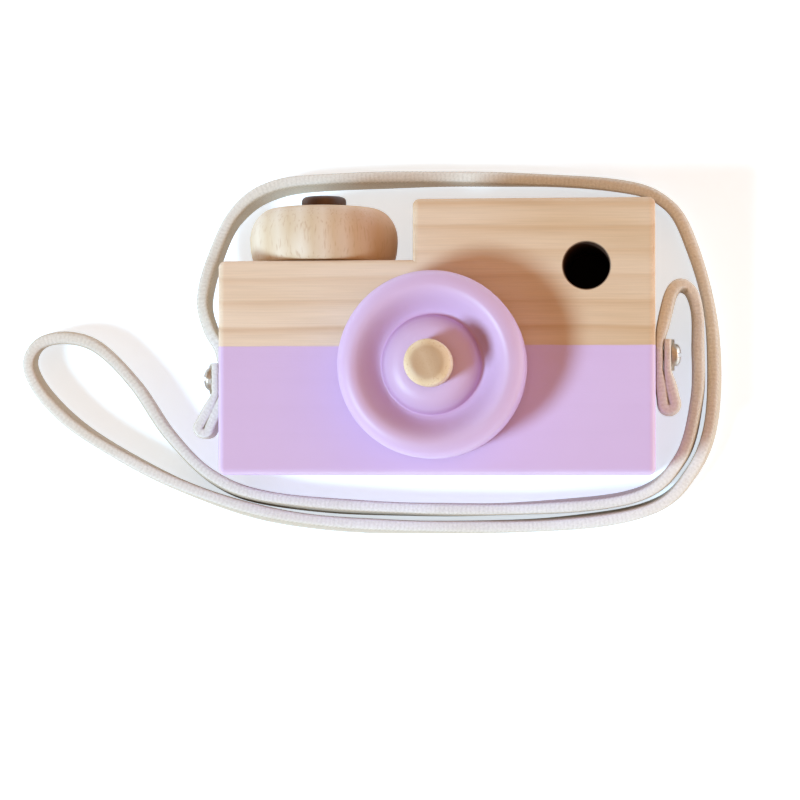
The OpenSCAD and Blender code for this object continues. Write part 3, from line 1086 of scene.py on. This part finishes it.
    def line(self) -> np.ndarray:
        """Draws a smooth curve through the folds and the route.

        Returns:
            Place and thickness at even steps along the tape, one row each.
        """
        left = self.fold("strap_end_left", -1, self.fold_flares[0])
        right = self.fold("strap_end_right", 1, self.fold_flares[1])
        marks = np.array(left + [(*point, self.thickness) for point in self.route] + right[::-1])
        marks = np.vstack([2 * marks[0] - marks[1], marks, 2 * marks[-1] - marks[-2]])
        t = np.linspace(0, 1, self.span_points, endpoint=False)[:, None]
        spans = [
            (2 * b + (c - a) * t + (2 * a - 5 * b + 4 * c - d) * t**2 + (3 * b - a - 3 * c + d) * t**3) / 2
            for a, b, c, d in zip(marks, marks[1:], marks[2:], marks[3:])
        ]
        curve = np.vstack(spans + [marks[-2:-1]])
        run = distance_along(curve[:, :3])
        return read_along(curve, run, np.linspace(0, run[-1], int(run[-1] / self.ring_step) + 1))

    def section(self) -> tuple[np.ndarray, np.ndarray]:
        """Gives the tape's cross section as a rounded bar of unit half sizes.

        Returns:
            Even points round it, and the way out at each, one row each.
        """
        angles = np.linspace(0, 2 * math.pi, self.section_samples)
        round_bar = np.stack([np.cos(angles), np.sin(angles)], axis=1)
        bar = np.sign(round_bar) * np.abs(round_bar) ** self.roundness
        sizes = np.array([self.thickness, self.width])
        run = distance_along(bar * sizes / 2)
        points = read_along(bar, run, np.linspace(0, run[-1], self.section_points, endpoint=False))
        out = np.sign(points) * np.abs(points) ** (2 / self.roundness - 1) / sizes
        return points, out / np.linalg.norm(out, axis=1, keepdims=True)

    def ways(self, middle: np.ndarray) -> tuple[np.ndarray, np.ndarray]:
        """Finds which way the tape faces, with its slight lean where it lies on the table.

        Args:
            middle: Points along the tape's middle line, one row each.

        Returns:
            The way out of the tape's face and the way across its width, one row for each point.
        """
        way = np.gradient(middle, axis=0)
        way /= np.linalg.norm(way, axis=1, keepdims=True)
        across = np.cross(way, Axis.Z.value)
        across /= np.linalg.norm(across, axis=1, keepdims=True)
        upright = np.cross(across, way)

        # The lean follows the place on the table, so runs that touch lean alike
        x, y, z = middle.T
        lying = np.clip((self.lean_ends - z) / self.lean_fade, 0, 1)
        length_x, length_y, start = self.swing_x
        tilt_x = np.sin(x / length_x + y / length_y + start)
        length_x, start = self.swing_y
        tilt_y = np.sin(x / length_x + start)
        lean = (self.lean * lying * (across[:, 0] * tilt_x + across[:, 1] * tilt_y))[:, None]
        face = across * np.cos(lean) + upright * np.sin(lean)
        edge = upright * np.cos(lean) - across * np.sin(lean)
        return face, edge

    def build(self, finish: Material) -> Object:
        """Args:
            finish: Material of the tape.

        Returns:
            The strap.
        """
        line = self.line()
        middle, thick = line[:, :3], line[:, 3:]
        run = np.arange(len(line)) * self.ring_step
        face, edge = self.ways(middle)

        # Herringbone ribs on the two faces, nearly flat over the edges where the yarn turns back
        points, out = self.section()
        from_middle = np.abs(points[:, 1])
        over_edge = np.clip((from_middle - self.edge_from_share) / self.edge_turn_share, 0, 1)
        slant = from_middle * self.width / 2
        ribs = 0.5 + 0.5 * np.cos(2 * math.pi * (run[:, None] + slant) / self.rib_pitch)
        lift = self.rib_height * (ribs - 0.5) * (1 - (1 - self.edge_rib_share) * over_edge)
        lift += self.ripple_height * np.sin(run / self.ripple_length)[:, None]
        through = points[:, 0] * thick / 2 + lift * out[:, 0]
        wide = points[:, 1] * self.width / 2 + lift * out[:, 1]
        corners = middle[:, None] + face[:, None] * through[..., None] + edge[:, None] * wide[..., None]
        corners[..., 2] = np.maximum(corners[..., 2], 0)

        count, rings = self.section_points, len(line)
        ends: Faces = [tuple(range(count)), tuple(range((rings - 1) * count, rings * count))]
        strap = mesh_piece("neck_strap", corners.reshape(-1, 3) * MM, band_faces(rings, count) + ends)
        # Share of the painted shade that darkens the tape's faces
        face_shade_share = np.broadcast_to(1 - over_edge, ribs.shape)
        for name, values in ((self.weave, ribs), (self.face, face_shade_share)):
            strap.data.attributes.new(name, "FLOAT", "POINT").data.foreach_set("value", values.ravel())
        fit_piece(strap, finish, Body.CAMERA, "cotton_tape", "strap", "strap_end_left", "strap_end_right")
        return strap


# Wooden pieces


@dataclass
class BodyBlock:
    """Pine block with a low shoulder on the left and a drilled viewfinder."""

    node: str = "body_block"
    shoulder_w: float = 42.5
    shoulder_drop: float = 13.3
    # Rounding of the outer edges, with its steps from front to side and its points round a corner
    edge_r: float = 1.5
    edge_steps: int = 6
    corner_points: int = 7
    hole_inset: float = 14.8
    hole_r: float = 5.0
    hole_chamfer: float = 0.4
    # Faces that meet at a sharper angle than this, in degrees, keep a crisp edge
    crisp_angle: float = 35.0

    def hole(self) -> Pair:
        """Gives the viewfinder's centre across the block."""
        high = node_box(self.node)[1]
        return high.x - self.hole_inset, high.y - self.hole_inset

    def corner(self, x: float, y: float, start: float, inset: float) -> Section:
        """Rounds one outer corner of the block's front.

        Args:
            x: Place of the sharp corner from left to right.
            y: Its place from bottom to top.
            start: Angle in degrees that the round starts at.
            inset: How far the line lies inside the block's sides.

        Returns:
            Points round the corner.
        """
        outwards = math.radians(start + 45)
        reach = self.edge_r * math.sqrt(2)
        middle = (x - reach * math.cos(outwards), y - reach * math.sin(outwards))
        radius = self.edge_r - inset
        return arc(middle, (radius, radius), start, start + 90, self.corner_points)

    def outline(self, inset: float) -> Section:
        """Draws the block's front with rounded outer corners and a sharp inner one.

        Args:
            inset: How far the line lies inside the block's sides.

        Returns:
            Points round the outline.
        """
        low, high = node_box(self.node)
        step_x, shoulder_y = low.x + self.shoulder_w, high.y - self.shoulder_drop
        return [
            *self.corner(low.x, low.y, 180, inset),
            *self.corner(high.x, low.y, 270, inset),
            *self.corner(high.x, high.y, 0, inset),
            *self.corner(step_x, high.y, 90, inset),
            (step_x + inset, shoulder_y - inset),
            *self.corner(low.x, shoulder_y, 90, inset),
        ]

    def blank(self) -> Object:
        """Saws the block and rounds its outer edges.

        Returns:
            The block without its hole.
        """
        low, high = node_box(self.node)
        tilts = np.linspace(0, math.pi / 2, self.edge_steps + 1)
        front = [(self.edge_r * (1 - math.cos(a)), high.z - self.edge_r * (1 - math.sin(a))) for a in tilts]
        rows = [(inset, low.z + high.z - z) for inset, z in front[::-1]] + front
        corners = np.array([(x, y, z) for inset, z in rows for x, y in self.outline(inset)])
        count = len(corners) // len(rows)
        ends: Faces = [tuple(range(count)), tuple(range(len(corners) - count, len(corners)))]
        return mesh_piece("pine_block", corners * MM, ends + band_faces(len(rows), count))

    def build(self) -> Object:
        """Saws, rounds, drills and paints the block.

        Returns:
            The block.
        """
        low, high = node_box(self.node)
        hole = self.hole()
        deep, mouth_r = high.z - low.z, self.hole_r + self.hole_chamfer
        block = self.blank()
        # The drill widens into a chamfer at each face and reaches well past it
        drill = turned_piece(
            "drill",
            [
                (0.0, -deep), (mouth_r * 2, -deep), (mouth_r, 0.0), (self.hole_r, self.hole_chamfer),
                (self.hole_r, deep - self.hole_chamfer), (mouth_r, deep), (mouth_r * 2, deep * 2),
                (0.0, deep * 2),
            ],
            (*hole, low.z), Axis.Z,
        )
        cut = block.modifiers.new("viewfinder", "BOOLEAN")
        cut.object = drill
        cut.solver = "EXACT"
        view = bpy.context.evaluated_depsgraph_get()
        mesh = bpy.data.meshes.new_from_object(block.evaluated_get(view))
        block.modifiers.clear()
        block.data = mesh
        bpy.data.objects.remove(drill)
        mesh.shade_smooth()
        mesh.set_sharp_from_angle(angle=math.radians(self.crisp_angle))
        block.modifiers.new("flat_faces", "WEIGHTED_NORMAL").keep_sharp = True
        fit_piece(block, PaintedPine().make(hole, self.hole_r), Body.CAMERA, "pine_block", self.node)
        return block


@dataclass
class LensWheel:
    """Painted lens with a round lip, a dished ring and a raised hub."""

    node: str = "lens_wheel"
    lip_r: float = 3.2
    dish_depth: float = 5.2
    hub_r: float = 10.6
    hub_drop: float = 1.0
    hub_round: float = 5.0
    back_r: float = 1.2
    bore_r: float = 3.6

    def section(self, outer_r: float, thick: float) -> Section:
        """Draws half of the lens in section.

        Args:
            outer_r: Outer radius.
            thick: Thickness from back to lip.

        Returns:
            Radius and height pairs, from the bore's back edge round to its front edge.
        """
        lip_in_r = outer_r - self.lip_r
        floor = thick - self.dish_depth
        hub_top_r = self.hub_r - self.hub_round
        inwards = self.hub_r - lip_in_r
        dish = [
            (lip_in_r + inwards * s, thick - self.dish_depth * (1 - math.cos(math.pi * s)) / 2)
            for s in np.linspace(0, 1, ARC_POINTS)[1:]
        ]
        return [
            (self.bore_r, 0.0),
            *arc((outer_r - self.back_r, self.back_r), (self.back_r, self.back_r), -90, 0),
            *arc((lip_in_r, thick - self.lip_r), (self.lip_r, self.lip_r), 0, 90),
            *dish,
            *arc((hub_top_r, floor), (self.hub_round, self.dish_depth - self.hub_drop), 0, 90),
            (self.bore_r, thick - self.hub_drop),
        ]

    def build(self) -> Object:
        """Turns the lens and paints it.

        Returns:
            The lens.
        """
        low, high = node_box(self.node)
        middle = (low + high) / 2
        section = self.section((high.x - low.x) / 2, high.z - low.z)
        lens = turned_piece("turned_lens", section, (middle.x, middle.y, low.z), Axis.Z)
        paint = PaintedTurning().make((middle.x, middle.y), self.hub_r)
        fit_piece(lens, paint, Body.LENS, "lilac_lens", self.node)
        return lens


@dataclass
class WinderKnob:
    """Fat turned knob on the shoulder."""

    node: str = "winder_knob"
    # Height of the widest place, and the radii at which the foot and the top turn flat
    belly_rise: float = 5.4
    foot_r: float = 15.2
    top_r: float = 10.8
    bore_r: float = 3.6
    finish: TurnedBeech = OILED_BEECH

    def build(self) -> Object:
        """Turns the knob and oils it.

        Returns:
            The knob.
        """
        low, high = node_box(self.node)
        middle = (low + high) / 2
        widest, tall = (high.x - low.x) / 2, high.y - low.y
        section = [
            (self.bore_r, 0.0),
            *arc((self.foot_r, self.belly_rise), (widest - self.foot_r, self.belly_rise), -90, 0),
            *arc((self.top_r, self.belly_rise), (widest - self.top_r, tall - self.belly_rise), 0, 90),
            (self.bore_r, tall),
        ]
        foot = (middle.x, low.y, middle.z)
        knob = turned_piece("turned_knob", section, foot, Axis.Y)
        fit_piece(knob, self.finish.make(Axis.Y, foot), Body.KNOB, "beech_knob", self.node)
        return knob


@dataclass
class HeadedPeg:
    """Peg with a chamfered head, glued into the block, that a turning piece is held by."""

    node: str
    piece: str
    slot: str
    axis: Axis
    head_len: float
    chamfer_w: float
    chamfer_len: float
    finish: TurnedBeech
    shank_r: float = 3.5
    steps: int = 96

    def build(self) -> Object:
        """Turns the peg and finishes it.

        Returns:
            The peg.
        """
        low, high = node_box(self.node)
        middle = (low + high) / 2
        upright = self.axis is Axis.Z
        head_r = (high.x - low.x) / 2
        tall = high.z - low.z if upright else high.y - low.y
        foot = (middle.x, middle.y, low.z) if upright else (middle.x, low.y, middle.z)
        under_head = tall - self.head_len
        section = [
            (0.0, 0.0), (self.shank_r, 0.0), (self.shank_r, under_head), (head_r, under_head),
            (head_r, tall - self.chamfer_len), (head_r - self.chamfer_w, tall), (0.0, tall),
        ]
        peg = turned_piece(self.piece, section, foot, self.axis, self.steps)
        fit_piece(peg, self.finish.make(self.axis, foot), Body.CAMERA, self.slot, self.node)
        return peg


@dataclass
class StrapFixings:
    """Plated screw and washer that hold each folded end of the strap."""

    nodes: tuple[str, ...] = (
        "strap_screw_left", "strap_screw_right", "strap_washer_left", "strap_washer_right",
    )

    def dress(self) -> list[Object]:
        """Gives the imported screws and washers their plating.

        Returns:
            The screws and washers.
        """
        plated = PlatedSteel().make()
        pieces = [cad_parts[node] for node in self.nodes]
        for piece in pieces:
            set_finish(piece, plated)
        return pieces


def main() -> None:
    """Builds the studio and the toy, in order."""
    logging.basicConfig(level=logging.INFO, format="%(message)s")
    studio = Studio()
    studio.camera()
    strap = NeckStrap()
    pieces = [strap.build(WovenCotton().make(strap.weave, strap.face))]
    studio.light()
    studio.floor()
    block = BodyBlock()
    studio.card(block.hole(), block.hole_inset - block.edge_r)
    lens_peg = HeadedPeg(
        "lens_peg", "turned_lens_peg", "beech_peg", Axis.Z, head_len=9.0, chamfer_w=1.7, chamfer_len=1.0,
        finish=PALE_BEECH,
    )
    # The knob's peg takes the dark copy of the beech, which is painted shade
    knob_peg = HeadedPeg(
        "knob_peg", "turned_knob_peg", "stained_peg", Axis.Y, head_len=2.4, chamfer_w=0.6, chamfer_len=0.6,
        finish=SHADED_PEG_BEECH,
    )
    for wooden in (block, LensWheel(), WinderKnob(), lens_peg, knob_peg):
        pieces.append(wooden.build())
    pieces.extend(StrapFixings().dress())
    for piece in pieces:
        LOG.info("%s: %d corners", piece.name, len(piece.data.vertices))


if __name__ == "__main__":
    main()
